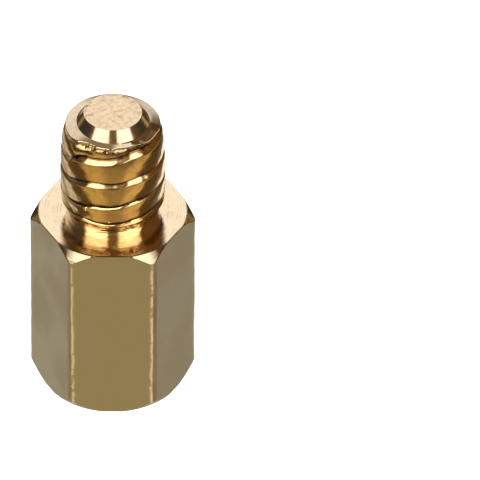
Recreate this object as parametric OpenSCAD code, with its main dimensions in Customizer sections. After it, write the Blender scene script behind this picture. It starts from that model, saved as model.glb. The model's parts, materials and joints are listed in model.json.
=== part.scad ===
// Male-female hex standoff, turned in one piece from drawn brass hexagon bar.
// Its axis is Z: the socket end stands on Z = 0 and the stud points up.
// The screw threads are left plain: the stud is drawn at the thread's outer diameter
// and the socket at the diameter of the hole that is drilled before tapping.

/* [Hex body] */
// Width of the bar across two opposite flats
across_flats = 4.76; // [4.6:0.01:7]
// Length of the hex body, from the socket face to the shoulder
body_length = 6.6; // [5:0.1:30]
// Radius along the six long edges of the drawn bar
edge_radius = 0.28; // [0.05:0.01:0.4]
// How far the shoulder's chamfer cuts in from the corners, measured radially
shoulder_chamfer = 0.31; // [0.15:0.01:0.5]
// How far the socket end's chamfer cuts in from the corners, measured radially
socket_chamfer = 0.35; // [0.15:0.01:0.4]
// Angle between the end chamfers and the end faces
chamfer_angle = 50; // [25:1:60]

/* [Thread] */
// Outer diameter of the thread, on the stud and in the socket
thread_d = 3.45; // [2.6:0.05:3.6]
// Pitch of the thread
thread_pitch = 0.794; // [0.5:0.001:0.9]
// Share of the full thread depth that tapping leaves in the socket's wall
thread_share = 0.65; // [0.5:0.01:0.8]

/* [Stud] */
// Length of the stud, from the shoulder to its flat tip
stud_length = 4.1; // [3.2:0.1:12]
// Length of the relief between the shoulder and the first full thread
relief_length = 0.85; // [0.3:0.05:1.2]
// Depth of the relief below the thread's outer diameter
relief_depth = 0.16; // [0.08:0.01:0.3]
// Radius in the corner where the relief meets the shoulder.
// At the relief's depth or more, a plate that clears the thread sits flat on the shoulder.
neck_radius = 0.18; // [0.08:0.01:0.3]
// Length of the taper that leads on to the full thread diameter
lead_length = 0.4; // [0.1:0.05:0.8]
// Depth of that taper at its small end
lead_depth = 0.18; // [0.05:0.01:0.25]
// Length of the lead face, a shallow cone between the taper and the pilot
lead_face_length = 0.09; // [0.05:0.01:0.2]
// Width of the lead face, measured radially
lead_face_width = 0.36; // [0.1:0.01:0.4]
// Length of the pilot cone at the tip
pilot_length = 0.36; // [0.1:0.01:0.6]
// How far the pilot cone closes in over its length, measured radially
pilot_depth = 0.23; // [0.1:0.01:0.4]

/* [Socket] */
// How far the countersink's mouth opens past the thread, measured radially
countersink_over = 0.32; // [0.1:0.01:0.4]
// Included angle of the countersink
countersink_angle = 65; // [60:1:120]
// Included angle of the drill's point at the bottom of the hole
drill_point_angle = 118; // [90:1:140]
// Metal left between the drill's point and the shoulder
socket_floor = 0.8; // [0.5:0.1:1.5]

/* [Hidden] */
$fn = 96;

// Hexagon of the bar
corner_r = across_flats / 2 / cos(30);
edge_centre_r = corner_r - edge_radius / cos(30);
corner_cut = corner_r - edge_radius * tan(30) / 2;

// Turned ends of the bar
shoulder_r = corner_r - shoulder_chamfer;
socket_face_r = corner_r - socket_chamfer;
shoulder_chamfer_h = shoulder_chamfer * tan(chamfer_angle);
socket_chamfer_h = socket_chamfer * tan(chamfer_angle);

// Stud, from the shoulder up
thread_r = thread_d / 2;
neck_r = thread_r - relief_depth;
lead_r = thread_r - lead_depth;
pilot_r = lead_r - lead_face_width;
tip_r = pilot_r - pilot_depth;
tip_z = body_length + stud_length;
pilot_z = tip_z - pilot_length;
lead_face_z = pilot_z - lead_face_length;
lead_z = lead_face_z - lead_length;
relief_z = body_length + relief_length;

// Socket, from its mouth up
full_thread_depth = 1.299 * thread_pitch;
bore_r = (thread_d - thread_share * full_thread_depth) / 2;
mouth_r = thread_r + countersink_over;
countersink_depth = (mouth_r - bore_r) / tan(countersink_angle / 2);
point_h = bore_r / tan(drill_point_angle / 2);
bore_end = body_length - socket_floor - point_h;
cut_past = 0.5;

// Section of the drawn bar: a hexagon with its six corners rounded
module bar_section() {
    intersection() {
        circle(r = corner_r, $fn = 6);
        rotate(30)
            circle(r = corner_cut / cos(30), $fn = 6);
    }
    for (corner = [0 : 5])
        rotate(60 * corner)
            translate([edge_centre_r, 0])
                circle(r = edge_radius);
}

// Shape that the lathe leaves of the body: square end faces and a chamfer at each end
module body_turning() {
    rotate_extrude()
        polygon([
            [0, 0],
            [socket_face_r, 0],
            [corner_r, socket_chamfer_h],
            [corner_r, body_length - shoulder_chamfer_h],
            [shoulder_r, body_length],
            [0, body_length]
        ]);
}

module hex_body() {
    intersection() {
        linear_extrude(height = body_length)
            bar_section();
        body_turning();
    }
}

// Stud: relief, full diameter, lead taper, lead face and pilot cone.
// It starts inside the body, on the metal left over the socket.
module stud() {
    rotate_extrude()
        polygon([
            [0, body_length - socket_floor / 2],
            [neck_r, body_length - socket_floor / 2],
            [neck_r, relief_z - relief_depth],
            [thread_r, relief_z],
            [thread_r, lead_z],
            [lead_r, lead_face_z],
            [pilot_r, pilot_z],
            [tip_r, tip_z],
            [0, tip_z]
        ]);
}

// Fillet in the corner between the relief and the shoulder
module neck_fillet() {
    rotate_extrude()
        translate([neck_r, body_length])
            difference() {
                translate([-neck_radius, -neck_radius])
                    square(2 * neck_radius);
                translate([neck_radius, neck_radius])
                    circle(r = neck_radius);
            }
}

// Countersink, drilled hole and the cone of the drill's point
module socket_cut() {
    rotate_extrude()
        polygon([
            [0, -cut_past],
            [mouth_r + cut_past * tan(countersink_angle / 2), -cut_past],
            [bore_r, countersink_depth],
            [bore_r, bore_end],
            [0, bore_end + point_h]
        ]);
}

module hex_standoff() {
    color("goldenrod")
        difference() {
            union() {
                hex_body();
                stud();
                neck_fillet();
            }
            socket_cut();
        }
}

hex_standoff();
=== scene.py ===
import json
import math

import bpy
import numpy as np
from mathutils import Matrix, Vector


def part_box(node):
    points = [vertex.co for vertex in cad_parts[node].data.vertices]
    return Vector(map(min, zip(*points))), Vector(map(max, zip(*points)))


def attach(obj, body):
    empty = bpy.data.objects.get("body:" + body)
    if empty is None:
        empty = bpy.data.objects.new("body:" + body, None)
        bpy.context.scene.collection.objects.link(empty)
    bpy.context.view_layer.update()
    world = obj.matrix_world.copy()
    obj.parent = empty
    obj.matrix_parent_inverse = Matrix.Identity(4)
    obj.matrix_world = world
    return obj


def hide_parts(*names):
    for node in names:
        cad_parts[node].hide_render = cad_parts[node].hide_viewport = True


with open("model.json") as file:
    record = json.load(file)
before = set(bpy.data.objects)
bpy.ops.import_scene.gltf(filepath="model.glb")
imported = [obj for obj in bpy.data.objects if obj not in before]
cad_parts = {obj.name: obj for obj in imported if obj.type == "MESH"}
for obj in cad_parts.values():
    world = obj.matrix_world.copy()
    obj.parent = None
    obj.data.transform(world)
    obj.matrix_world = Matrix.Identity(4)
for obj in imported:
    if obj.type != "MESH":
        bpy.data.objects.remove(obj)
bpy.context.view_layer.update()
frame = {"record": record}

# A hexagonal brass standoff, turned in one piece from drawn bar, with its screw threads cut.
# Lengths are in millimetres and heights are above the socket's end. Marks round the axis are in degrees from +X,
# anticlockwise from above, and the front is at 270.
MM = 0.001

# ---------------------------------------------------------------- sizes from the frame
NODE = "hex_standoff"
INSET = 0.0005
MOUNTS = {mount["name"]: mount for mount in frame["record"]["mounts"]}
low_corner, high_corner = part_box(NODE)
HALF_FLATS = (high_corner.y - low_corner.y) / MM / 2 - INSET
TIP_Z = high_corner.z / MM
BODY_LENGTH = MOUNTS["shoulder"]["pos_m"][2] / MM
THREAD_R = MOUNTS["stud"]["dims"]["r_mm"]
BORE_R = MOUNTS["socket"]["dims"]["r_mm"]

# ---------------------------------------------------------------- sizes of the drawn and turned forms
# The bar: its edges' rounding and the radius to a sharp corner
TAN_30 = math.tan(math.radians(30))
EDGE_R = 0.28
CORNER_R = HALF_FLATS / math.cos(math.radians(30))
# The body's ends: the chamfers' slope, the faces' circles and the broken rim
CHAMFER_SLOPE = math.tan(math.radians(50))
SHOULDER_R = CORNER_R - 0.31
SOCKET_FACE_R = CORNER_R - 0.35
BREAK = 0.04
# The stud's tip: disc, pilot cone and lead face, and the roundings at the disc's rim and the cone's foot
LEAD_R = THREAD_R - 0.18
PILOT_R = LEAD_R - 0.36
TIP_R = PILOT_R - 0.23
PILOT_Z = TIP_Z - 0.36
LEAD_FACE_Z = PILOT_Z - 0.09
LEAD_SLOPE = (PILOT_Z - LEAD_FACE_Z) / (LEAD_R - PILOT_R)
RIM_ROUND, FOOT_ROUND = 0.022, 0.014
# The stud's wall reaches from its foot, a little above the shoulder, to just under the lead face
WALL_FOOT, WALL_TOP = BODY_LENGTH + 0.06, LEAD_FACE_Z - 0.03
# The socket: countersink's mouth and slope, drill point, and what is left between it and the shoulder
MOUTH_R = THREAD_R + 0.32
SINK_SLOPE = math.tan(math.radians(65 / 2))
DRILL_SLOPE = math.tan(math.radians(118 / 2))
SOCKET_FLOOR = 0.8

# ---------------------------------------------------------------- the thread
PITCH = 0.794
# Height of a groove's root at the front, the front in turns from the first column, half the width of the root,
# and how fast the upper flank runs out, in depth for each millimetre
FIRST_GROOVE_Z = BODY_LENGTH + 0.863
FRONT_TURN = 150 / 360
ROOT = 0.012
STEEP = 2.6
# Distances from a groove's root, along the axis, at which the mesh has a row
STUD_ROWS = np.array([
    -0.397, -0.345, -0.295, -0.25, -0.215, -0.19, -0.168, -0.149, -0.131, -0.111, -0.085, -0.055,
    -0.025, 0.0, 0.02, 0.038, 0.054, 0.068, 0.082, 0.1, 0.13, 0.19, 0.26, 0.33])
SOCKET_ROWS = np.array([-0.397, -0.28, -0.19, -0.11, -0.03, 0.03, 0.11, 0.19, 0.28])
# The cut thread isn't even. Turns from the first column, and how far the groove there lies off the true helix.
WANDER = np.array([
    [-1.00, 0.20], [-0.58, 0.25], [-0.50, 0.28], [-0.44, 0.36], [-0.39, 0.42], [-0.10, 0.15],
    [0.24, 0.04], [0.33, 0.02], [0.36, -0.04], [0.40, -0.09], [0.44, -0.10], [0.48, -0.04],
    [0.52, -0.06], [0.56, -0.04], [0.61, -0.01], [0.85, -0.06], [1.18, -0.25], [1.23, -0.31],
    [1.28, -0.31], [1.32, -0.24], [1.355, -0.17], [1.385, -0.175], [1.42, -0.21], [1.455, -0.13],
    [1.50, -0.11], [1.535, -0.165], [1.56, -0.155], [1.59, -0.12], [1.63, -0.16], [1.85, -0.10],
    [2.20, -0.11], [2.235, -0.20], [2.26, -0.22], [2.31, -0.10], [2.355, -0.045], [2.39, -0.05],
    [2.42, -0.10], [2.45, -0.06], [2.49, -0.01], [2.53, -0.045], [2.58, -0.055], [2.62, -0.06],
    [2.90, -0.08], [3.20, -0.20], [3.25, -0.26], [3.272, -0.20], [3.29, 0.09], [3.33, 0.045],
    [3.39, 0.065], [3.42, 0.065], [3.45, 0.10], [3.48, 0.18], [3.51, 0.17], [3.535, 0.14],
    [3.57, 0.14], [3.61, 0.155], [3.90, -0.10], [4.20, -0.30], [4.30, -0.33], [4.60, -0.10]])
# Turns, the groove's depth, and the rise of its lower flank for each unit of depth
CUT = np.array([
    [-1.0, 0.0, 0.84], [-0.66, 0.0, 0.84], [-0.60, 0.022, 0.84], [-0.40, 0.03, 0.84],
    [-0.30, 0.02, 0.84], [0.0, 0.05, 0.84], [0.25, 0.09, 0.84], [0.45, 0.11, 0.84],
    [1.0, 0.11, 0.84], [1.5, 0.11, 0.84], [2.0, 0.12, 0.84], [2.44, 0.125, 0.9],
    [2.50, 0.125, 1.1], [2.58, 0.13, 0.9], [3.0, 0.15, 0.84], [3.27, 0.165, 0.84],
    [3.30, 0.15, 0.9], [3.43, 0.115, 0.8], [3.47, 0.11, 0.9], [3.55, 0.12, 0.9],
    [3.62, 0.14, 0.9], [4.0, 0.13, 0.84], [4.25, 0.13, 0.84], [4.33, 0.09, 0.84], [4.38, 0.0, 0.84]])
# Height and radius of the stud's outside, from the shoulder's corner to the edge of the lead face
ENVELOPE = np.array([
    [BODY_LENGTH, 1.515], [BODY_LENGTH + 0.15, 1.522], [BODY_LENGTH + 0.33, 1.540],
    [BODY_LENGTH + 0.50, 1.565], [BODY_LENGTH + 0.58, 1.600], [BODY_LENGTH + 0.63, 1.650],
    [BODY_LENGTH + 0.68, 1.688], [BODY_LENGTH + 0.85, 1.697], [BODY_LENGTH + 1.1, 1.708],
    [BODY_LENGTH + 1.4, 1.718], [BODY_LENGTH + 1.7, THREAD_R], [TIP_Z - 2.1, THREAD_R],
    [TIP_Z - 1.63, 1.712], [TIP_Z - 1.3, 1.695], [TIP_Z - 1.0, 1.67], [TIP_Z - 0.75, 1.63],
    [TIP_Z - 0.6, 1.60], [TIP_Z - 0.45, LEAD_R]])
# Burrs and dents on the stud: mark round the axis, height, how far it stands out, and its half width and height
BURRS = np.array([
    [222, 10.24, 0.045, 0.05, 0.04], [230, 10.14, -0.05, 0.07, 0.05], [238, 10.19, 0.020, 0.03, 0.03],
    [243, 10.16, 0.035, 0.022, 0.07], [246, 10.12, 0.025, 0.04, 0.02], [252, 10.20, -0.025, 0.05, 0.03],
    [256, 10.17, 0.020, 0.06, 0.018], [263, 10.19, -0.02, 0.03, 0.03], [268, 10.18, 0.018, 0.07, 0.016],
    [277, 10.19, 0.015, 0.05, 0.016], [239, 7.86, 0.05, 0.045, 0.045], [251, 8.63, 0.014, 0.035, 0.035],
    [257, 8.60, -0.014, 0.035, 0.035], [259, 8.56, 0.014, 0.03, 0.03], [270, 8.55, -0.012, 0.03, 0.03],
    [273, 8.52, 0.013, 0.03, 0.03], [277, 7.83, 0.014, 0.03, 0.03], [268, 7.47, 0.03, 0.03, 0.03],
    [297, 7.20, 0.03, 0.06, 0.05], [288, 7.10, 0.02, 0.04, 0.03], [223, 9.95, -0.02, 0.05, 0.05]])
# How unevenly the tool cut, as a share of the depth, and the lengths over which the grooves fade in at the wall's
# foot and out at its top
RAGGED, FOOT_FADE, TOP_FADE = 0.03, 0.05, 0.06
# The last groove where it is open to the lead face: how deep it stays, and the marks between which it is open
OPEN_CUT, OPEN_AT = 0.125, (216, 236, 300, 330)
# The last land's lean inwards for each millimetre above its foot, and the marks on both sides of a patch
LAND_LEAN, LEAN_FOOT, LEANS_AT = 0.20, TIP_Z - 0.78, ((208, 222, 243, 250), (268, 278, 340, 352))
# How low the lead face lies at the right of the front, and the marks between which it does
LEAD_LEAN, LEAD_LEAN_AT = 0.055, (298, 312, 344, 359)
# The lands' crown: how far it has fallen at a share of the way from a land's middle to the groove's root, and the
# heights between which it comes in
CROWN, CROWN_WAY, CROWN_LOW, CROWN_FULL = 0.011, 0.6, BODY_LENGTH + 1.0, BODY_LENGTH + 1.4
# Torn rings at the neck: how far they stand out, how far apart they are, how much they wander, how dark they are,
# and where they are above the shoulder
TORN_OUT, TORN_PITCH, TORN_WANDER, TORN_DARK = 0.0085, 0.075, 2.5, 0.55
TORN_AT = (0.30, 0.38, 0.60, 0.70)
# Where a groove is painted dark as shade, from its root, over the root and the flank above it that faces down, and
# the heights between which the neck's bright turning ends; that brightness is partly a painted highlight
DARK_AT = (-0.06, -0.02, 0.075, 0.105)
BRIGHT_TO, BRIGHT_END = BODY_LENGTH + 0.28, BODY_LENGTH + 0.40
# How far a burr may stand out past the thread
PROUD = 0.02
# The socket's thread: depth, half width of its root, roundness, the length over which it runs out, and how far
# short of the bore's end it stops
TAP_DEPTH, TAP_ROOT, TAP_SOFT, TAP_RUN_OUT, TAP_SHORT = 0.26, 0.03, 0.02, 0.5, 0.4

# ---------------------------------------------------------------- columns round the axis
# Half the angle, in degrees, that a rounded edge takes up
edge_span = 30 - math.degrees(math.atan((HALF_FLATS - EDGE_R) * TAN_30 / HALF_FLATS))
EDGE_STEPS, FLAT_STEPS = 11, 39
FIRST_EDGE = 120


def column_angles():
    """Angles round the axis from the edge at the back left: even steps over each flat and closer ones over each
    rounded edge, so that the columns meet the lines where flat and rounding join."""
    over = np.linspace(-edge_span, edge_span, EDGE_STEPS)[:-1]
    across = np.linspace(edge_span, 60 - edge_span, FLAT_STEPS)[:-1]
    start = FIRST_EDGE + 60 * np.arange(6)[:, None]
    return np.radians((start + np.concatenate([over, across])).ravel())


THETA = column_angles()
COLUMNS = len(THETA)
TURN = (THETA - math.radians(FIRST_EDGE)) / (2 * math.pi)
MARK = np.degrees(THETA) % 360
FROM_FRONT = np.abs((np.degrees(THETA) + 270) % 360 - 180)


def smooth(start, end, value):
    """Rises from 0 at the start to 1 at the end, as 3t squared less 2t cubed."""
    t = np.clip((value - start) / (end - start), 0, 1)
    return t * t * (3 - 2 * t)


def window(value, start, full, fading, end):
    """Rises from 0 to 1 between the first two marks, and falls back to 0 between the last two."""
    return smooth(start, full, value) * (1 - smooth(fading, end, value))


def waves(seed, amount, around, along, count=26):
    """A wavy field over angle and height: a sum of sines with whole numbers of waves round the axis, so that it
    closes, and random directions, lengths and phases. Around and along are the most waves per turn and the most
    radians per millimetre."""
    draw = np.random.default_rng(seed)
    k = draw.integers(-around, around + 1, count)
    m = draw.uniform(-along, along, count)
    phase = draw.uniform(0, 2 * math.pi, count)
    weight = draw.uniform(0.4, 1, count)
    weight *= amount / np.sqrt((weight**2).sum() / 2)

    def field(theta, z):
        total = 0
        for ki, mi, pi, wi in zip(k, m, phase, weight):
            total = total + wi * np.sin(ki * theta + mi * z + pi)
        return total
    return field


def dents(seed, amount, most, count=24):
    """Shallow dents over a face: a sum of sines along random directions across it, for one ring of columns. Their
    pace is from the least to the most radians per millimetre."""
    least, mean_square = 6, 0.26
    draw = np.random.default_rng(seed)
    heading, phase = draw.uniform(0, 2 * math.pi, (2, count))
    pace = draw.uniform(least, most, count)
    weight = amount * draw.uniform(0.4, 1, count) / math.sqrt(count * mean_square)

    def field(radius):
        along = radius * np.cos(THETA[:, None] - heading)
        return (weight * np.sin(pace * along + phase)).sum(axis=1)
    return field


def off_edge(theta):
    """Angle from the middle of the nearest edge, in radians, less than 0 before it and more than 0 after it."""
    return (theta + math.pi / 6) % (math.pi / 3) - math.pi / 6


def hexagon_radius(theta):
    """Distance from the axis to the bar's section. On a flat it is half the width over the cosine of the angle
    from the flat's middle. On an edge it is the far side of a small circle that touches both flats."""
    off = off_edge(theta)
    flat = HALF_FLATS / np.cos(math.pi / 6 - np.abs(off))
    centre = CORNER_R - EDGE_R / math.cos(math.pi / 6)
    inside = np.clip(EDGE_R**2 - (centre * np.sin(off)) ** 2, 0, None)
    arc = centre * np.cos(off) + np.sqrt(inside)
    return np.where(np.abs(off) < math.radians(edge_span) + 1e-9, arc, flat)


HEXAGON = hexagon_radius(THETA)
OFF_EDGE = off_edge(THETA) / math.radians(edge_span)
ON_EDGE = 1 - smooth(0.75, 1.1, np.abs(OFF_EDGE))
# Where the line smoothed by rubbing lies on each edge, as shares of the rounding off its middle, at the shoulder and
# at the foot, and half its width in the same shares: bright up to the first, gone at the second. Its near-white
# colour is partly a painted highlight.
EDGES = [0, 60, 120, 180, 200, 240, 270, 300, 360]
RUB_HIGHLIGHT_TOP = np.interp(MARK, EDGES, [0, 0.1, -0.1, 0.1, 0.12, 0.12, -0.2, -0.2, 0])
RUB_HIGHLIGHT_FOOT = np.interp(MARK, EDGES, [0.2, 0.2, -0.2, 0.3, 0.70, 0.70, -0.35, -0.35, 0.2])
RUB_HIGHLIGHT_FULL, RUB_HIGHLIGHT_END = 0.18, 0.46


def groove(offset, depth, spread):
    """Depth of a cut at a distance along the axis from its root: a flat root, a steep flank above it that faces
    down, a slanting flank below it that faces up, and a soft change at each crest."""
    soft_below, soft_above, full_depth, least = 0.007, 0.006, 0.1, 0.15
    below = depth - (-offset - ROOT) / spread
    above = depth - (offset - ROOT) * STEEP
    straight = np.minimum(np.where(offset < 0, below, above), depth)
    soften = np.where(offset < 0, soft_below, soft_above) * np.clip(depth / full_depth, least, 1)
    return np.minimum(soften * np.logaddexp(0, straight / soften), depth)


def bumps(theta, z):
    """Sum of small rounded knobs and dents, each a bell curve of the distance over the stud's surface."""
    total = 0
    for mark, height, out, wide, tall in BURRS:
        around = ((theta - math.radians(mark) + math.pi) % (2 * math.pi) - math.pi) * THREAD_R
        total = total + out * np.exp(-((around / wide) ** 2) - ((z - height) / tall) ** 2)
    return total


def eased(table, column, width=0.018, step=0.002, reach=25):
    """Reads a column of a table as a smooth curve: straight lines, softened with a bell curve of the given width
    that reaches so many fine steps each way."""
    fine = np.arange(-3, 12, step)
    bell = np.exp(-((np.arange(-reach, reach + 1) * step / width) ** 2))
    lines = np.pad(np.interp(fine, table[:, 0], table[:, column]), reach, "edge")
    curve = np.convolve(lines, bell / bell.sum(), "valid")
    return lambda place: np.interp(place, fine, curve)


land_waves = waves(11, 0.0012, 34, 26)
slow_waves = waves(5, 0.003, 9, 7, 14)
edge_waves = waves(23, 0.0035, 30, 24)
torn_waves = waves(17, 0.9, 5, 6, 12)
wander, cut_depth, cut_spread = eased(WANDER, 1), eased(CUT, 1), eased(CUT, 2)
outside = eased(ENVELOPE, 1)


def helix_level(turn):
    """Height of the groove's root: one pitch a turn, plus its wander."""
    return FIRST_GROOVE_Z + PITCH * (turn - FRONT_TURN) + wander(turn)


def stud_wall():
    """Rows that follow the thread from the top down. Each row keeps its distance from a groove's root, eased halfway
    to the next groove, and the radius is the outside's less the cut. Rows that run past either end are held at that
    end's ring. Also gives the two painted values: the roots, with the flanks above them that face down, are dark as a
    painted shade, the torn rings are dark too, and the neck below them is bright, a paler smooth finish that is
    partly a painted highlight."""
    w = np.arange(-3, 6)[:, None, None] + TURN
    offset = STUD_ROWS[:, None] + 0 * TURN
    here = helix_level(w)
    other = helix_level(w + np.sign(offset)) - np.sign(offset) * PITCH
    share = np.abs(offset) / PITCH
    z = here + (other - here) * share + offset
    z, offset, w = (np.broadcast_to(part, z.shape).reshape(-1, COLUMNS)[::-1] for part in (z, offset, w))
    ends = window(z, WALL_FOOT, WALL_FOOT + FOOT_FADE, WALL_TOP - TOP_FADE, WALL_TOP)
    z = np.clip(z, WALL_FOOT, WALL_TOP)
    depth, spread = cut_depth(w) * ends, cut_spread(w)
    ragged = 1 + RAGGED * np.sin(31 * THETA) * np.sin(7 * THETA + 2 * w)
    cut = groove(offset + edge_waves(THETA, z), depth * ragged, spread)
    # at the front the last groove is open to the lead face: the land above it is cut away
    root = helix_level(3 + TURN)
    opened = window(MARK, *OPEN_AT) * smooth(root - 0.03, root, z)
    cut = np.maximum(cut, OPEN_CUT * opened)
    radius = outside(z) - cut
    radius = radius + land_waves(THETA, z) + slow_waves(THETA, z) + bumps(THETA, z)
    # a land is highest halfway between two deep grooves
    crowned = smooth(0.04, 0.1, depth) * smooth(CROWN_LOW, CROWN_FULL, z)
    from_middle = 1 - np.minimum(np.abs(offset) / (PITCH / 2), 1)
    radius = radius - CROWN * (from_middle / CROWN_WAY) ** 2 * crowned
    # the last land leans in further at the front, on both sides of a patch
    lean = window(MARK, *LEANS_AT[0]) + window(MARK, *LEANS_AT[1])
    radius = radius - LAND_LEAN * np.clip(z - LEAN_FOOT, 0, None) * lean
    # torn rings where the tool ran out, between the last turn and the neck
    torn = window(z - BODY_LENGTH, *TORN_AT)
    rings = np.sin(2 * math.pi * z / TORN_PITCH + TORN_WANDER * torn_waves(THETA, z))
    radius = np.minimum(radius + TORN_OUT * torn * rings, THREAD_R + PROUD)
    hold = smooth(WALL_FOOT, WALL_FOOT + 0.03, z)
    radius = radius * hold + (1 - hold) * outside(WALL_FOOT)
    # painted shade: each deep enough groove darkened over its root and the flank above it that faces down
    recess = window(offset, *DARK_AT) * smooth(0.02, 0.10, depth)
    # partly a painted highlight: the neck below the torn rings gets the pale, smoother colour
    bright = 1 - smooth(BRIGHT_TO, BRIGHT_END, z)
    return radius, z, np.maximum(recess, TORN_DARK * torn), bright


def socket_wall(bottom, top):
    """Rows that follow the socket's thread from its mouth up: grooves cut outwards from the drilled hole, as deep as
    their flanks allow, rounded at the crest and faded where the tap stopped. Also gives the dark of a root, a painted
    shade."""
    turns = np.arange(-1, math.ceil(top / PITCH) + 2)
    z = (PITCH * (turns[:, None] + 0.2) + SOCKET_ROWS).ravel()[:, None] + PITCH * TURN
    offset = np.tile(SOCKET_ROWS, len(turns))[:, None] + 0 * TURN
    starts = smooth(bottom, bottom + 0.12, z)
    z = np.clip(z, bottom, top)
    straight = np.minimum(TAP_DEPTH - (np.abs(offset) - TAP_ROOT) / TAN_30 * 0.75, TAP_DEPTH)
    runs_to = top - TAP_SHORT
    stops = 1 - smooth(runs_to - TAP_RUN_OUT, runs_to, z)
    cut = TAP_SOFT * np.logaddexp(0, straight / TAP_SOFT) * stops * starts
    return BORE_R + cut, z, smooth(0.05, 0.2, cut)


# ---------------------------------------------------------------- putting the rows together
class Shell:
    """Grids of points that share their end rows, welded into one closed surface. Each grid holds a radius and a
    height for every row and column, the slot of its finish, and two painted values: recess, which is 1 down in a
    groove, where its dark colour is a painted shade, and which also carries the darker torn rings and chamfer
    streaks, and a second one, 1 on an edge smoothed by rubbing and on the smooth-turned neck, where its paler colour
    is partly a painted highlight."""

    def __init__(self):
        self.points, self.paint, self.faces, self.slots, self.count = [], [], [], [], 0

    def add(self, radii, heights, slot, recess=0.0, wear=0.0, seam=0):
        """Joins each point to the next row and the next column. The seam says how many rows further on the last
        column meets the first, because a thread climbs one pitch in a turn."""
        radii = np.stack([np.broadcast_to(row, COLUMNS) for row in radii]).astype(float)
        heights = np.stack([np.broadcast_to(row, COLUMNS) for row in heights]).astype(float)
        rows = len(radii)
        i, j = np.arange(rows - 1)[:, None], np.arange(COLUMNS)[None, :]
        after = (j + 1) % COLUMNS
        shift = np.where(j == COLUMNS - 1, seam, 0)
        upper, lower = np.clip(i + shift, 0, rows - 1), np.clip(i + 1 + shift, 0, rows - 1)
        corners = [i * COLUMNS + j, (i + 1) * COLUMNS + j, lower * COLUMNS + after, upper * COLUMNS + after]
        self.faces.append(np.stack(corners, axis=-1).reshape(-1, 4) + self.count)
        self.slots.append(np.full(len(self.faces[-1]), slot))
        points = np.stack([radii * np.cos(THETA), radii * np.sin(THETA), heights], axis=-1)
        self.points.append(points.reshape(-1, 3))
        paint = [np.broadcast_to(value, radii.shape).ravel() for value in (recess, wear)]
        self.paint.append(np.stack(paint, axis=-1))
        self.count += rows * COLUMNS

    def mesh(self, name, decimals=5):
        """Welds points that round to the same place. A face that has lost one side becomes a triangle, and one
        that has lost more is left out."""
        points = np.round(np.concatenate(self.points), decimals)
        unique, first, index = np.unique(points, axis=0, return_index=True, return_inverse=True)
        quads, slots = index.ravel()[np.concatenate(self.faces)], np.concatenate(self.slots)
        doubled = quads == np.roll(quads, -1, axis=1)
        sides = 4 - doubled.sum(axis=1)
        opposite = (quads[:, 0] == quads[:, 2]) | (quads[:, 1] == quads[:, 3])
        whole, pinched = (sides == 4) & ~opposite, (sides == 3) & ~opposite
        threes = quads[pinched][~doubled[pinched]].reshape(-1, 3)
        mesh = bpy.data.meshes.new(name)
        mesh.from_pydata((unique * MM).tolist(), [], quads[whole].tolist() + threes.tolist())
        slots = np.concatenate([slots[whole], slots[pinched]]).astype(np.int32)
        mesh.polygons.foreach_set("material_index", slots)
        paint = np.concatenate(self.paint)[first]
        for column, title in enumerate(("recess", "wear")):
            layer = mesh.attributes.new(title, "FLOAT", "POINT")
            layer.data.foreach_set("value", paint[:, column].astype(np.float32))
        mesh.update()
        return mesh


TIP, TURNED, THREAD, FACE, CHAMFER, FLAT, SOCKET = range(7)


def shares(count, ends=(0.004, 0.02)):
    """Fractions from 0 to 1 in even steps, with closer ones at each end to hold the shading of a corner."""
    inner = np.linspace(0, 1, count)[1:-1]
    near = np.array(ends)
    inner = inner[(inner > near[-1]) & (inner < 1 - near[-1])]
    return np.unique(np.concatenate([[0], near, inner, 1 - near, [1]]))


def between(start, end, fractions):
    """Rows from the start to the end: the start plus each fraction of the way."""
    return [start + (end - start) * share for share in fractions]


def corner(before, point, after, radius, steps=4):
    """A small arc that touches both sides of an outline's corner, as lists of radii and heights."""
    p, a, b = (np.array(v, float) for v in (point, before, after))
    u, v = (a - p) / np.linalg.norm(a - p), (b - p) / np.linalg.norm(b - p)
    half = math.acos(u @ v) / 2
    reach, set_in = radius / math.tan(half), radius / math.sin(half)
    centre = p + (u + v) / np.linalg.norm(u + v) * set_in
    start, end, sweep = p + u * reach - centre, p + v * reach - centre, math.pi - 2 * half
    t = np.linspace(0, 1, steps + 1)
    arc = [centre + (start * math.sin((1 - s) * sweep) + end * math.sin(s * sweep)) / math.sin(sweep) for s in t]
    return [q[0] for q in arc], [q[1] for q in arc]


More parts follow.
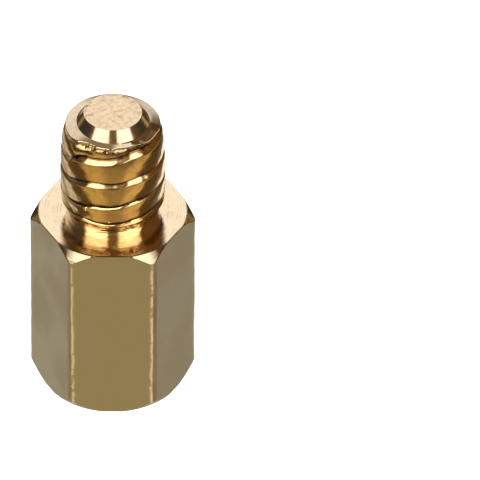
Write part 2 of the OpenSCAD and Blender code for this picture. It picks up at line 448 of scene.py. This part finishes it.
def add_tip(shell, reach):
    """The parted-off disc, the pilot cone and the lead face. The disc lies a little low, with shallow dents, but
    for its rim. The lead face falls outwards by its slope, is a little uneven, and leans down at the right of the
    front. Its edge turns down in three steps to meet the wall's top ring at the reach."""
    low, rim_width = 0.008, 0.06
    dent = dents(3, 0.0030, 30)
    rim_r, rim_z = corner((0, TIP_Z), (TIP_R, TIP_Z), (PILOT_R, PILOT_Z), RIM_ROUND)
    disc_r = between(0.0, rim_r[0], np.linspace(0, 1, 20) ** 0.8)
    lift = [np.minimum(dent(r) - low, 0) * smooth(0, rim_width, rim_r[0] - r) for r in disc_r]
    shell.add(disc_r, [TIP_Z + rise for rise in lift], TIP)
    foot_r, foot_z = corner((TIP_R, TIP_Z), (PILOT_R, PILOT_Z), (LEAD_R, LEAD_FACE_Z), FOOT_ROUND)
    down = shares(9)
    cone_r, cone_z = between(rim_r[-1], foot_r[0], down), between(rim_z[-1], foot_z[0], down)
    shell.add(rim_r + cone_r[1:], rim_z + cone_z[1:], TURNED)
    outwards = shares(14, (0.01, 0.04))
    face_r = between(foot_r[-1], reach - 0.02, outwards)
    uneven = 0.004 * np.sin(3 * THETA + 1) + 0.003 * np.sin(7 * THETA) - LEAD_LEAN * window(MARK, *LEAD_LEAN_AT)
    face_z = [foot_z[-1] - (r - foot_r[-1]) * LEAD_SLOPE + uneven * smooth(0.0, 0.3, share)
              for r, share in zip(face_r, outwards)]
    edge_r = [reach - 0.008, reach - 0.001, reach]
    edge_z = between(face_z[-1], WALL_TOP, (0.22, 0.6, 1.0))
    shell.add(foot_r + face_r[1:] + edge_r, foot_z + face_z[1:] + edge_z, TURNED)


def add_shoulder(shell):
    """The strip round the neck's foot, the corner at the shoulder, and the shoulder's face, out to its circle or,
    where a flat cuts in, to the flat."""
    neck_r, base_r, corner_round = outside(WALL_FOOT), outside(BODY_LENGTH), 0.004
    arc_r, arc_z = corner((neck_r, WALL_FOOT), (base_r, BODY_LENGTH), (THREAD_R, BODY_LENGTH), corner_round, 1)
    # partly a painted highlight: the strip and corner at the neck's foot get the pale, smoother colour
    shell.add([neck_r] + arc_r, [WALL_FOOT] + arc_z, THREAD, wear=1.0)
    out = shares(6)
    shell.add(between(arc_r[-1], np.minimum(SHOULDER_R, HEXAGON) - BREAK * 0.40, out), [BODY_LENGTH] * len(out), FACE)


def add_chamfer(shell):
    """The broken rim and the shoulder's chamfer: a cone down to where it meets the hexagon, or only a small
    rounding where a flat cuts in. Away from the front it is streaked with rings, each as dark as chance has it.
    Gives the height at which the flats begin."""
    edge = np.minimum(SHOULDER_R, HEXAGON)
    on_cone = smooth(0.0, 0.02, np.clip(HEXAGON - SHOULDER_R, 0, None))
    last = HEXAGON - 0.012
    last_z = BODY_LENGTH - BREAK - np.clip(last - SHOULDER_R, 0, None) * CHAMFER_SLOPE * on_cone
    first_r = edge + 0.3 * BREAK * on_cone
    first_z = np.full(COLUMNS, BODY_LENGTH - 0.95 * BREAK)
    down = shares(8, (0.03,))
    rim_r = [edge - BREAK * inwards for inwards in (0.40, 0.35, 0.02)]
    rim_z = [np.full(COLUMNS, BODY_LENGTH - BREAK * low) for low in (0.0, 0.03, 0.90)]
    chamfer_r = rim_r + between(first_r, np.maximum(last, first_r), down)
    chamfer_z = rim_z + between(first_z, last_z, down)
    foot_z = last_z - 0.02
    streak = np.random.default_rng(6).uniform(0.1, 0.95, len(chamfer_r) + 1)
    dark = streak[:, None] * smooth(28, 33, FROM_FRONT)
    shell.add(chamfer_r + [HEXAGON], chamfer_z + [foot_z], CHAMFER, recess=dark)
    return foot_z


def add_flats(shell, top_z):
    """The flats and the rounded edges between them. Each edge is set in a little and nicked between its ends, and
    carries a line, smoothed by rubbing and painted near white, partly a painted highlight, that wanders down it.
    Gives the height of the socket's chamfer."""
    set_in, least = 0.006, 0.001
    end_z = np.clip(HEXAGON - SOCKET_FACE_R, 0, None) * CHAMFER_SLOPE + 0.02
    levels = shares(48, (0.002, 0.006))
    flat_z = between(top_z, end_z, levels)
    nick, bits = waves(31, 0.0035, 6, 9, 20), waves(41, 0.10, 12, 14, 20)
    line = [RUB_HIGHLIGHT_TOP + (RUB_HIGHLIGHT_FOOT - RUB_HIGHLIGHT_TOP) * s + bits(THETA * 0, z) for s, z in zip(levels, flat_z)]
    # partly a painted highlight: a near-white line down each edge, where the rubbing also smooths it
    rubbed_highlight = [1 - smooth(RUB_HIGHLIGHT_FULL, RUB_HIGHLIGHT_END, np.abs(OFF_EDGE - middle)) for middle in line]
    flat_r = [HEXAGON - ON_EDGE * smooth(0, 0.05, s) * smooth(1, 0.95, s) * np.maximum(set_in + nick(THETA, z), least)
              for s, z in zip(levels, flat_z)]
    shell.add(flat_r, flat_z, FLAT, wear=np.stack(rubbed_highlight))
    return end_z


def add_socket(shell, end_z):
    """The socket's end: chamfer, lip, countersink, thread and bore, and the drill's point, a cone up to the axis."""
    chamfer_foot, lip_round = 0.015, 0.02
    ring = np.minimum(SOCKET_FACE_R, HEXAGON)
    down = shares(6, (0.05,))
    chamfer_z = between(end_z, np.full(COLUMNS, 0.008), down)
    shell.add(between(HEXAGON, ring, down) + [ring - chamfer_foot], chamfer_z + [0.0], CHAMFER)
    mouth_r, mouth_z = corner((ring.min(), 0), (MOUTH_R, 0), (MOUTH_R - SINK_SLOPE, 1), lip_round)
    inwards = shares(6)
    shell.add(between(ring - chamfer_foot, mouth_r[0], inwards), [0.0] * len(inwards), FACE)
    sink = (MOUTH_R - BORE_R) / SINK_SLOPE
    point_h = BORE_R / DRILL_SLOPE
    bore_end = BODY_LENGTH - SOCKET_FLOOR - point_h
    bore_r, bore_z, recess = socket_wall(sink, bore_end)
    reach, end, up = bore_r[0], bore_r[-1], shares(5)
    cone_r = mouth_r + between(mouth_r[-1], reach, up)[1:]
    cone_z = mouth_z + between(mouth_z[-1], (MOUTH_R - reach) / SINK_SLOPE, up)[1:]
    shell.add(cone_r + [reach], cone_z + [sink], SOCKET)
    shell.add(bore_r, bore_z, SOCKET, recess, 0.0, len(SOCKET_ROWS))
    shell.add(between(end, 0.0, up), between(bore_end, bore_end + point_h, up), SOCKET)


def build_standoff():
    """The whole skin as one closed outline carried round the axis, from the tip down and in through the socket."""
    shell = Shell()
    wall_r, wall_z, recess, bright = stud_wall()
    add_tip(shell, wall_r[0])
    # recess darkens the grooves as a painted shade; bright paints the neck paler, partly a painted highlight
    shell.add(wall_r, wall_z, THREAD, recess, bright, -len(STUD_ROWS))
    add_shoulder(shell)
    add_socket(shell, add_flats(shell, add_chamfer(shell)))
    return shell.mesh("turned_standoff")


# ---------------------------------------------------------------- finishes
def feed(tree, socket, value):
    """Gives a socket a number or a colour, or links it to another node's output."""
    if isinstance(value, (int, float)):
        socket.default_value = value
    elif isinstance(value, tuple):
        socket.default_value = (*value, 1)
    else:
        tree.links.new(value, socket)


def math_node(tree, operation, *values):
    """One operation of the Math node on numbers or outputs."""
    node = tree.nodes.new("ShaderNodeMath")
    node.operation = operation
    for socket, value in zip(node.inputs, values):
        feed(tree, socket, value)
    return node.outputs[0]


def smooth_node(tree, value, start, end, low=0.0, high=1.0):
    """Goes from the low value at the start to the high one at the end, as 3t squared less 2t cubed."""
    node = tree.nodes.new("ShaderNodeMapRange")
    node.interpolation_type = "SMOOTHSTEP"
    node.inputs["From Min"].default_value, node.inputs["From Max"].default_value = start, end
    node.inputs["To Min"].default_value, node.inputs["To Max"].default_value = low, high
    feed(tree, node.inputs["Value"], value)
    return node.outputs["Result"]


def mix_colour(tree, factor, a, b, blend="MIX"):
    """Goes from colour a to colour b by the factor, or adds that much of b to a."""
    node = tree.nodes.new("ShaderNodeMix")
    node.data_type, node.blend_type = "RGBA", blend
    for name, value in (("Factor", factor), ("A", a), ("B", b)):
        feed(tree, next(s for s in node.inputs if s.name == name and s.enabled), value)
    return next(s for s in node.outputs if s.enabled)


def new_group(name, inputs, outputs):
    """An empty node group with its sockets named, and its input and output nodes."""
    group = bpy.data.node_groups.new(name, "ShaderNodeTree")
    for title, kind, value in inputs:
        socket = group.interface.new_socket(title, in_out="INPUT", socket_type=kind)
        if value is not None:
            socket.default_value = value
    for title, kind in outputs:
        group.interface.new_socket(title, in_out="OUTPUT", socket_type=kind)
    return group, group.nodes.new("NodeGroupInput"), group.nodes.new("NodeGroupOutput")


def noise(tree, vector, scale, detail=3.0, rough=0.55):
    """Soft patches, so many to the metre, with finer ones laid over them."""
    node = tree.nodes.new("ShaderNodeTexNoise")
    node.inputs["Detail"].default_value, node.inputs["Roughness"].default_value = detail, rough
    feed(tree, node.inputs["Vector"], vector)
    feed(tree, node.inputs["Scale"], scale)
    return node.outputs["Fac"]


def turning_marks():
    """Fine rings round the axis: noise along the distance from the axis plus the height, so that it draws circles
    on a face and rings on a wall, with a little slow change round them."""
    drift_per_m, drift_m, mm_per_m = 900.0, 0.00006, 1000.0
    group, given, result = new_group("turning_marks", [("Vector", "NodeSocketVector", None),
                                                       ("Rings per mm", "NodeSocketFloat", 20.0)],
                                     [("Height", "NodeSocketFloat")])
    split = group.nodes.new("ShaderNodeSeparateXYZ")
    feed(group, split.inputs[0], given.outputs["Vector"])
    x2 = math_node(group, "MULTIPLY", split.outputs["X"], split.outputs["X"])
    y2 = math_node(group, "MULTIPLY", split.outputs["Y"], split.outputs["Y"])
    radius = math_node(group, "SQRT", math_node(group, "ADD", x2, y2))
    along = math_node(group, "ADD", radius, split.outputs["Z"])
    drift = noise(group, given.outputs["Vector"], drift_per_m, 1.0)
    along = math_node(group, "ADD", along, math_node(group, "MULTIPLY", drift, drift_m))
    rings = group.nodes.new("ShaderNodeTexNoise")
    rings.noise_dimensions = "1D"
    rings.inputs["Detail"].default_value = 4.0
    rings.inputs["Roughness"].default_value = 0.65
    rings.inputs["Scale"].default_value = 1.0
    along_mm = math_node(group, "MULTIPLY", along, mm_per_m)
    feed(group, rings.inputs["W"], math_node(group, "MULTIPLY", along_mm, given.outputs["Rings per mm"]))
    feed(group, result.inputs["Height"], rings.outputs["Fac"])
    return group


def tarnish():
    """Uneven tone and painted shade: the bright colour, changed towards the dull one by soft patches, and towards the
    dark one where the mesh is painted as recess, down in the grooves as a painted shade. Also gives the patches as a
    mask."""
    group, given, result = new_group("tarnish", [
        ("Vector", "NodeSocketVector", None), ("Bright", "NodeSocketColor", (0.9, 0.7, 0.5, 1)),
        ("Dull", "NodeSocketColor", (0.8, 0.6, 0.3, 1)), ("Dark", "NodeSocketColor", (0.2, 0.1, 0.04, 1)),
        ("Patches per m", "NodeSocketFloat", 2500.0), ("Amount", "NodeSocketFloat", 0.5),
        ("Recess", "NodeSocketFloat", 0.0)],
        [("Color", "NodeSocketColor"), ("Mask", "NodeSocketFloat")])
    field = noise(group, given.outputs["Vector"], given.outputs["Patches per m"], 3.0, 0.6)
    mask = smooth_node(group, field, 0.38, 0.66)
    amount = math_node(group, "MULTIPLY", mask, given.outputs["Amount"])
    tone = mix_colour(group, amount, given.outputs["Bright"], given.outputs["Dull"])
    # painted shade: the dark colour where the mesh is painted as recess, down in the grooves
    tone = mix_colour(group, given.outputs["Recess"], tone, given.outputs["Dark"])
    feed(group, result.inputs["Color"], tone)
    feed(group, result.inputs["Mask"], mask)
    return group


MARKS, UNEVEN_TONE_AND_GROOVE_SHADE = turning_marks(), tarnish()


def placed(tree, group, vector, **values):
    """Puts a node group into a material, with its sockets fed by name."""
    node = tree.nodes.new("ShaderNodeGroup")
    node.node_tree = group
    feed(tree, node.inputs["Vector"], vector)
    for name, value in values.items():
        feed(tree, node.inputs[name.replace("_", " ")], value)
    return node


def painted(tree, name):
    """A value painted on the mesh."""
    node = tree.nodes.new("ShaderNodeAttribute")
    node.attribute_name = name
    return node.outputs["Fac"]


def bump(tree, height, depth, normal=None):
    """A Bump node for heights from 0 to 1, with its depth in millimetres."""
    node = tree.nodes.new("ShaderNodeBump")
    node.inputs["Distance"].default_value = depth * MM
    feed(tree, node.inputs["Height"], height)
    if normal is not None:
        feed(tree, node.inputs["Normal"], normal)
    return node.outputs["Normal"]


def brass(name, bright, dull, rough, rings, ring_depth, patches, amount, grain=(8000.0, 0.0004),
          dark=(0.16, 0.08, 0.03), rough_change=0.05, metallic=1.0, worn_and_highlight=None, worn_rough=0.1, breaks=None,
          streaks=None):
    """A brass finish: an uneven tone for the colour, darkened where the mesh is painted as recess, down in the
    grooves as a painted shade and in the chamfer's streaks, turning marks and a fine grain for the surface, and a
    roughness that follows the patches. Rings are counted to the millimetre, and patches, grain and breaks to the
    metre. Where the mesh's second painted value is high, on edges smoothed by rubbing and on the smooth-turned neck,
    the colour goes to the pale one given, partly a painted highlight, and the roughness to the smoother one given, in
    broken lines if there are breaks. Streaks are dark rings where the turning marks are high."""
    material = bpy.data.materials.new(name)
    material.use_nodes = True
    tree = material.node_tree
    shader = tree.nodes["Principled BSDF"]
    shader.inputs["Metallic"].default_value = metallic
    where = tree.nodes.new("ShaderNodeTexCoord").outputs["Object"]
    tone = placed(tree, UNEVEN_TONE_AND_GROOVE_SHADE, where, Bright=bright, Dull=dull, Dark=dark, Patches_per_m=patches, Amount=amount,
                  Recess=painted(tree, "recess"))
    colour = tone.outputs["Color"]
    roughness = smooth_node(tree, tone.outputs["Mask"], 0.0, 1.0, rough - rough_change, rough + rough_change)
    if worn_and_highlight is not None:
        # partly a painted highlight: the pale colour on edges smoothed by rubbing and on the smooth-turned neck
        wear = painted(tree, "wear")
        if breaks is not None:
            broken = smooth_node(tree, noise(tree, where, breaks, 4.0, 0.7), 0.36, 0.52)
            wear = math_node(tree, "MULTIPLY", wear, broken)
        colour = mix_colour(tree, wear, colour, worn_and_highlight)
        fade = tree.nodes.new("ShaderNodeMix")
        feed(tree, fade.inputs["Factor"], wear)
        feed(tree, fade.inputs["A"], roughness)
        feed(tree, fade.inputs["B"], worn_rough)
        roughness = fade.outputs["Result"]
    marks = placed(tree, MARKS, where, Rings_per_mm=rings).outputs["Height"]
    if streaks is not None:
        thin = smooth_node(tree, marks, 0.50, 0.62)
        spread = smooth_node(tree, noise(tree, where, 2600.0, 2.0), 0.50, 0.62, 0.0, streaks)
        colour = mix_colour(tree, math_node(tree, "MULTIPLY", thin, spread), colour, dark)
    feed(tree, shader.inputs["Base Color"], colour)
    feed(tree, shader.inputs["Roughness"], roughness)
    grain_per_m, grain_depth = grain
    normal = bump(tree, marks, ring_depth)
    feed(tree, shader.inputs["Normal"], bump(tree, noise(tree, where, grain_per_m, 3.0), grain_depth, normal))
    return material


def drawn_flat():
    """The bar's own skin: satin, with faint streaks drawn out along it. Its edges are smoothed by rubbing in broken
    lines and painted near white there, partly a painted highlight, where the value painted on the mesh meets a
    streaky noise."""
    streak_per_m, streak_depth, drawn_out = 9000.0, 0.0007, 0.03
    # the pale colour given for the edges is near white: a painted highlight along lines that are also smoother
    material = brass("drawn_flats", (0.655, 0.55, 0.34), (0.60, 0.495, 0.285), rough=0.40, rings=3.0, ring_depth=0.0,
                     patches=420.0, amount=0.35, grain=(2500.0, 0.0004), metallic=0.8, worn_and_highlight=(0.98, 0.94, 0.74),
                     worn_rough=0.12, breaks=3200.0)
    tree = material.node_tree
    normal = tree.nodes["Principled BSDF"].inputs["Normal"]
    stretch = tree.nodes.new("ShaderNodeMapping")
    stretch.inputs["Scale"].default_value = (1.0, 1.0, drawn_out)
    feed(tree, stretch.inputs["Vector"], tree.nodes.new("ShaderNodeTexCoord").outputs["Object"])
    streaks = noise(tree, stretch.outputs["Vector"], streak_per_m, 4.0)
    feed(tree, normal, bump(tree, streaks, streak_depth, normal.links[0].from_socket))
    return material


SHARP = 38
mesh = build_standoff()
piece = bpy.data.objects.new("turned_standoff", mesh)
bpy.context.scene.collection.objects.link(piece)
mesh.shade_smooth()
mesh.set_sharp_from_angle(angle=math.radians(SHARP))
# PALE, given to the turned tip and the shoulder that face up into the bright walls, is paler than GOLD on the thread
# and socket: partly the turned faces' own tone, partly a painted highlight that stands for the whitening of their
# bright reflections; the parted tip's colour is as pale
PALE, GOLD = (0.90, 0.72, 0.50), (0.86, 0.59, 0.27)
for material in (
        brass("parted_tip", (0.86, 0.66, 0.44), (0.78, 0.56, 0.34), rough=0.20, rings=7.0, ring_depth=0.0010,
              patches=6000.0, amount=0.6, grain=(3800.0, 0.016)),
        brass("bright_turned_tip", PALE, (0.80, 0.60, 0.38), rough=0.10, rings=16.0, ring_depth=0.0005,
              patches=5000.0, amount=0.4),
        # painted shade: the grooves take the default dark colour
        brass("cut_thread", GOLD, (0.78, 0.50, 0.22), rough=0.15, rings=14.0, ring_depth=0.0004,
              # partly a painted highlight: this pale colour paints the neck and its foot
              patches=5500.0, amount=0.7, grain=(9000.0, 0.0007), worn_and_highlight=(0.89, 0.65, 0.34)),
        brass("turned_shoulder", PALE, (0.84, 0.62, 0.38), rough=0.09, rings=19.0, ring_depth=0.0020,
              patches=1500.0, amount=0.25, dark=(0.45, 0.28, 0.12), streaks=0.35),
        brass("turned_chamfer", (0.80, 0.62, 0.38), (0.72, 0.52, 0.28), rough=0.12, rings=14.0, ring_depth=0.0026,
              patches=6000.0, amount=0.4, dark=(0.30, 0.20, 0.08), streaks=0.8),
        drawn_flat(),
        # painted shade: the roots of the socket's thread take the default dark colour
        brass("socket_bore", GOLD, (0.78, 0.52, 0.24), rough=0.16, rings=14.0, ring_depth=0.0006,
              patches=4000.0, amount=0.6)):
    mesh.materials.append(material)
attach(piece, "root")
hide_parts(NODE)


# ---------------------------------------------------------------- studio
def direction(azimuth, elevation):
    """A unit vector: azimuth from the camera's side, -Y, towards +X, and elevation above the floor, in degrees."""
    a, e = math.radians(azimuth), math.radians(elevation)
    return np.array([math.cos(e) * math.sin(a), -math.cos(e) * math.cos(a), math.sin(e)])


def ramp(tree, value, stops):
    """A colour ramp with its stops given as positions from -180 to 180 and a grey or a colour."""
    node = tree.nodes.new("ShaderNodeValToRGB")
    elements = node.color_ramp.elements
    elements.remove(elements[-1])
    for index, (degrees, colour) in enumerate(stops):
        colour = (colour,) * 3 if isinstance(colour, (int, float)) else colour
        element = elements[0] if index == 0 else elements.new((degrees + 180) / 360)
        element.color = (*colour, 1)
    feed(tree, node.inputs["Fac"], value)
    return node.outputs["Color"]


def softbox_mask(tree, vector, corners, softness=0.07):
    """1 inside the figure that the corner directions span and 0 outside: for each side, a smooth step on the dot
    product with the plane through the centre and that side."""
    points = [direction(*corner_angles) for corner_angles in corners]
    middle = sum(points)
    result = None
    for a, b in zip(points, points[1:] + points[:1]):
        plane = np.cross(a, b)
        plane *= np.sign(plane @ middle) / np.linalg.norm(plane)
        dot = tree.nodes.new("ShaderNodeVectorMath")
        dot.operation = "DOT_PRODUCT"
        dot.inputs[1].default_value = plane
        feed(tree, dot.inputs[0], vector)
        side = smooth_node(tree, dot.outputs["Value"], -softness, softness)
        result = side if result is None else math_node(tree, "MULTIPLY", result, side)
    return result


# The softboxes' corners as azimuth and elevation
LEFT_BOX = [(-60, 5), (-11, 8), (-25, 79), (-84, 58)]
RIGHT_BOX = [(11, 8), (58, 5), (79, 52), (58, 78)]
TOP_BOX = [(175, 62), (157, 56), (150, 63), (170, 71)]
# The large ones' strength low down and high up, and the small one's as a share of it
BOX_LOW, BOX_HIGH, TOP_SHARE = 1.5, 2.9, 0.34
# The table, the walls and the zenith, by azimuth from the camera's side
WARM, AMBER, SHADE, DEEP = (0.60, 0.46, 0.20), (0.70, 0.53, 0.25), (0.36, 0.28, 0.14), (0.10, 0.07, 0.035)
TABLE = [(-180, 0.5), (-164, 0.60), (-144, 0.55), (-134, 0.22), (-128, 0.26), (-122, 0.68), (-102, 0.70),
         (-96, DEEP), (-62, DEEP), (-50, WARM), (-22, WARM), (-10, SHADE), (18, SHADE), (32, AMBER), (56, AMBER),
         (66, DEEP), (104, DEEP), (112, 0.15), (128, 0.17), (135, 1.35), (154, 1.35), (164, 0.35), (180, 0.5)]
GAP, DIM, UMBER, BUFF = (0.17, 0.12, 0.06), (0.11, 0.07, 0.035), (0.14, 0.08, 0.03), (0.20, 0.15, 0.08)
WALLS = [(-180, 1.12), (-164, 0.95), (-144, 0.75), (-128, 0.28), (-108, 0.07), (-82, 0.06), (-64, GAP),
         (60, GAP), (76, UMBER), (112, UMBER), (130, DIM), (152, DIM), (160, BUFF), (167, 0.65), (175, 1.10),
         (180, 1.12)]
SKY, DUSK = (0.27, 0.21, 0.13), (0.07, 0.045, 0.02)
ZENITH = [(-180, SKY), (78, SKY), (104, DUSK), (156, DUSK), (170, SKY), (180, SKY)]
BLACK, HORIZON, LIFT = (0, 0, 0), (0.045, 0.04, 0.035), (0.26, 0.26, 0.21)


def make_world():
    """The room, by direction: a lit table below, a dark band at the horizon, pale walls behind, a dim zenith, two
    large softboxes that lean in from the front to overhead, brighter towards their tops, and a small weak one high
    at the back. Each joins the next over a range of z, the sine of the elevation, or of y, the way back from the
    camera. The camera itself sees white."""
    world = bpy.data.worlds.new("studio")
    bpy.context.scene.world = world
    world.use_nodes = True
    tree = world.node_tree
    tree.nodes.clear()
    vector = tree.nodes.new("ShaderNodeTexCoord").outputs["Generated"]
    split = tree.nodes.new("ShaderNodeSeparateXYZ")
    feed(tree, split.inputs[0], vector)
    x, y, z = split.outputs
    # the azimuth as a share of a turn, with the camera's side at a half
    turn = math_node(tree, "ARCTAN2", x, math_node(tree, "MULTIPLY", y, -1.0))
    turn = math_node(tree, "MULTIPLY_ADD", turn, 0.5 / math.pi, 0.5)
    # the table's stripes spread out towards the horizon, and it is darker far off and right under the standoff
    widening = math_node(tree, "MULTIPLY_ADD", z, -1.15, 0.28)
    wider = math_node(tree, "MULTIPLY_ADD", math_node(tree, "SUBTRACT", turn, 0.5), widening, 0.5)
    far_off, under = smooth_node(tree, z, -0.55, -0.28, 1.0, 0.7), smooth_node(tree, z, -0.92, -0.70, 0.6, 1.0)
    table = mix_colour(tree, math_node(tree, "MULTIPLY", far_off, under), BLACK, ramp(tree, wider, TABLE))
    # the table's far side reaches higher at the back
    height = math_node(tree, "SUBTRACT", z, smooth_node(tree, y, -0.3, 0.3, 0.0, 0.13))
    room = mix_colour(tree, smooth_node(tree, height, -0.26, -0.12, 1.0, 0.0), HORIZON, table)
    # the walls, lifted a little high up at the front, and the zenith over them
    front, high = smooth_node(tree, y, -0.2, 0.1, 1.0, 0.0), smooth_node(tree, z, 0.80, 0.89)
    walls = mix_colour(tree, math_node(tree, "MULTIPLY", front, high), ramp(tree, turn, WALLS), LIFT, "ADD")
    walls = mix_colour(tree, smooth_node(tree, z, 0.72, 0.84), walls, ramp(tree, turn, ZENITH))
    room = mix_colour(tree, smooth_node(tree, z, 0.12, 0.34), room, walls)
    large = math_node(tree, "MAXIMUM", softbox_mask(tree, vector, LEFT_BOX), softbox_mask(tree, vector, RIGHT_BOX))
    small = math_node(tree, "MULTIPLY", softbox_mask(tree, vector, TOP_BOX), TOP_SHARE)
    glow = smooth_node(tree, z, 0.50, 0.82, BOX_LOW, BOX_HIGH)
    light = tree.nodes.new("ShaderNodeCombineColor")
    for socket in light.inputs:
        feed(tree, socket, glow)
    room = mix_colour(tree, math_node(tree, "MAXIMUM", large, small), room, light.outputs["Color"])
    lit, seen = tree.nodes.new("ShaderNodeBackground"), tree.nodes.new("ShaderNodeBackground")
    seen.inputs["Color"].default_value = (1, 1, 1, 1)
    feed(tree, lit.inputs["Color"], room)
    mix = tree.nodes.new("ShaderNodeMixShader")
    feed(tree, mix.inputs["Fac"], tree.nodes.new("ShaderNodeLightPath").outputs["Is Camera Ray"])
    feed(tree, mix.inputs[1], lit.outputs["Background"])
    feed(tree, mix.inputs[2], seen.outputs["Background"])
    feed(tree, tree.nodes.new("ShaderNodeOutputWorld").inputs["Surface"], mix.outputs["Shader"])


def make_lights():
    """Two weak soft lights a long way off, within the directions of the two large softboxes."""
    elevation, away, watts, size = 38, 1.5, 0.2, 0.5
    for name, azimuth in (("left softbox", -44), ("right softbox", 44)):
        lamp = bpy.data.lights.new(name, "AREA")
        lamp.energy, lamp.size = watts, size
        lamp.color = (1.0, 0.97, 0.92)
        obj = bpy.data.objects.new(name, lamp)
        towards = direction(azimuth, elevation)
        obj.location = towards * away
        obj.rotation_euler = Vector(towards).to_track_quat("Z", "Y").to_euler()
        obj.visible_camera = False
        bpy.context.scene.collection.objects.link(obj)


def make_floor():
    """A square of white paper that glows evenly, so that it shows no shade, and that the metal doesn't mirror."""
    size = 3.0
    floor_mesh = bpy.data.meshes.new("floor")
    corners = [(-size, -size, 0), (size, -size, 0), (size, size, 0), (-size, size, 0)]
    floor_mesh.from_pydata(corners, [], [(0, 1, 2, 3)])
    floor = bpy.data.objects.new("floor", floor_mesh)
    bpy.context.scene.collection.objects.link(floor)
    paper = bpy.data.materials.new("white_paper")
    paper.use_nodes = True
    shader = paper.node_tree.nodes["Principled BSDF"]
    shader.inputs["Base Color"].default_value = (0.9, 0.9, 0.9, 1)
    shader.inputs["Roughness"].default_value = 0.9
    shader.inputs["Emission Color"].default_value = (1, 1, 1, 1)
    shader.inputs["Emission Strength"].default_value = 1.0
    floor_mesh.materials.append(paper)
    floor.visible_glossy = False
    floor.visible_diffuse = False


def make_camera():
    """Looks down at 39 degrees from straight in front of a flat, from far off, turned by a part of a degree. Its
    place is the point on the floor that it aims at, less the distance along the way it looks."""
    tilt, roll, distance = math.radians(39.04), math.radians(0.55), 378.7
    aim, lens, sensor = np.array([4.172, 6.6627, 0]), 846.2, 36
    forward = np.array([0, math.cos(tilt), -math.sin(tilt)])
    right, up = np.array([1.0, 0, 0]), np.array([0, math.sin(tilt), math.cos(tilt)])
    turned_right = right * math.cos(roll) + up * math.sin(roll)
    turned_up = up * math.cos(roll) - right * math.sin(roll)
    place = (aim - forward * distance) * MM
    columns = np.stack([turned_right, turned_up, -forward, place], axis=1)
    camera = bpy.data.cameras.new("camera")
    camera.sensor_width, camera.lens = sensor, lens
    camera.clip_start, camera.clip_end = 0.01, 20
    obj = bpy.data.objects.new("camera", camera)
    obj.matrix_world = Matrix(columns.tolist() + [[0, 0, 0, 1]])
    bpy.context.scene.collection.objects.link(obj)
    bpy.context.scene.camera = obj


make_world()
make_lights()
make_floor()
make_camera()
bpy.context.scene.view_settings.view_transform = "Standard"
